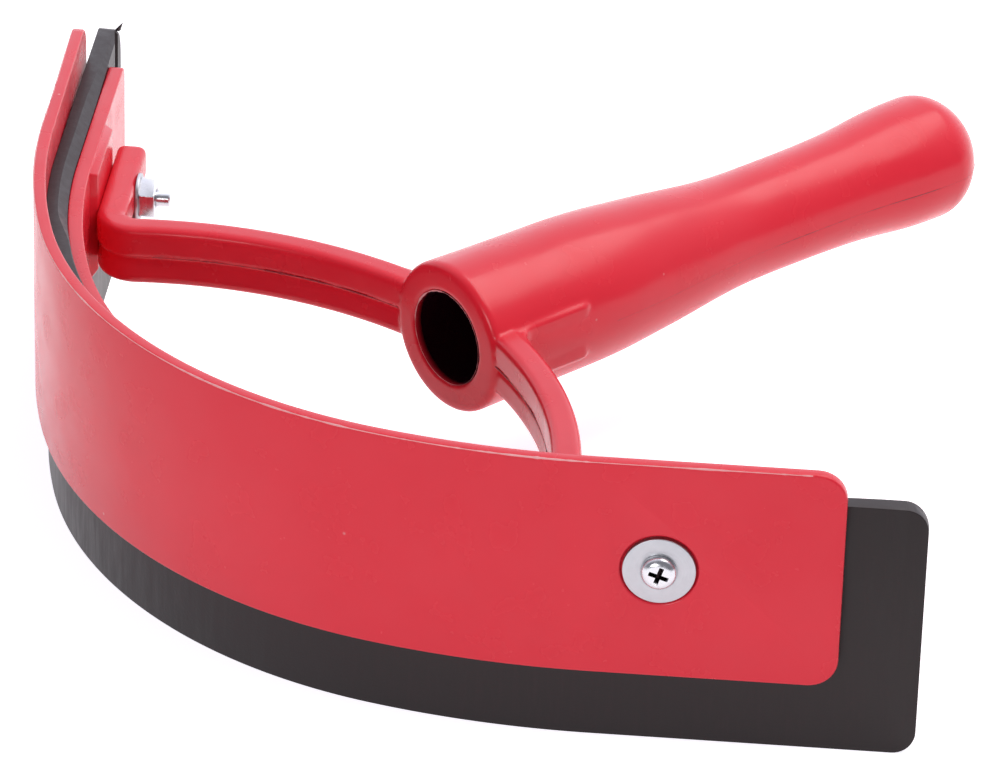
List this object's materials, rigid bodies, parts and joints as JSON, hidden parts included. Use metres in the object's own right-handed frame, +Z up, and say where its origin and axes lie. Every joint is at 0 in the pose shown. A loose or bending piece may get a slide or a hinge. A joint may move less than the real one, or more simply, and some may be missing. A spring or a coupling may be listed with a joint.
{
  "type": "horse sweat scraper",
  "caption": "Curved rubber blade clamped between plastic strips, bolted to a moulded frame with a round handle, for wiping water and sweat off a horse.",
  "frame": {"origin": "middle of the object's footprint, on the surface that the rubber blade's lower edge stands on", "axes": "+X to the right along the blade's chord, +Y from the blade to the handle's tip, +Z up, square to the blade's edge"},
  "size_m": [0.2678, 0.2264, 0.064],
  "materials": {
    "red_plastic": "moulded, satin gloss",
    "black_rubber": "moulded, matt",
    "screw_metal": "bright zinc plated",
    "washer_metal": "satin zinc plated",
    "nut_metal": "bright zinc plated"
  },
  "bodies": {
    "root": {"outer_strip": "red_plastic", "inner_strip": "red_plastic", "handle_frame": "red_plastic", "rubber_blade": "black_rubber", "left_screw": "screw_metal", "left_front_washer": "washer_metal", "left_rear_washer": "washer_metal", "left_nut": "nut_metal", "right_screw": "screw_metal", "right_front_washer": "washer_metal", "right_rear_washer": "washer_metal", "right_nut": "nut_metal"}
  },
  "joints": []
}
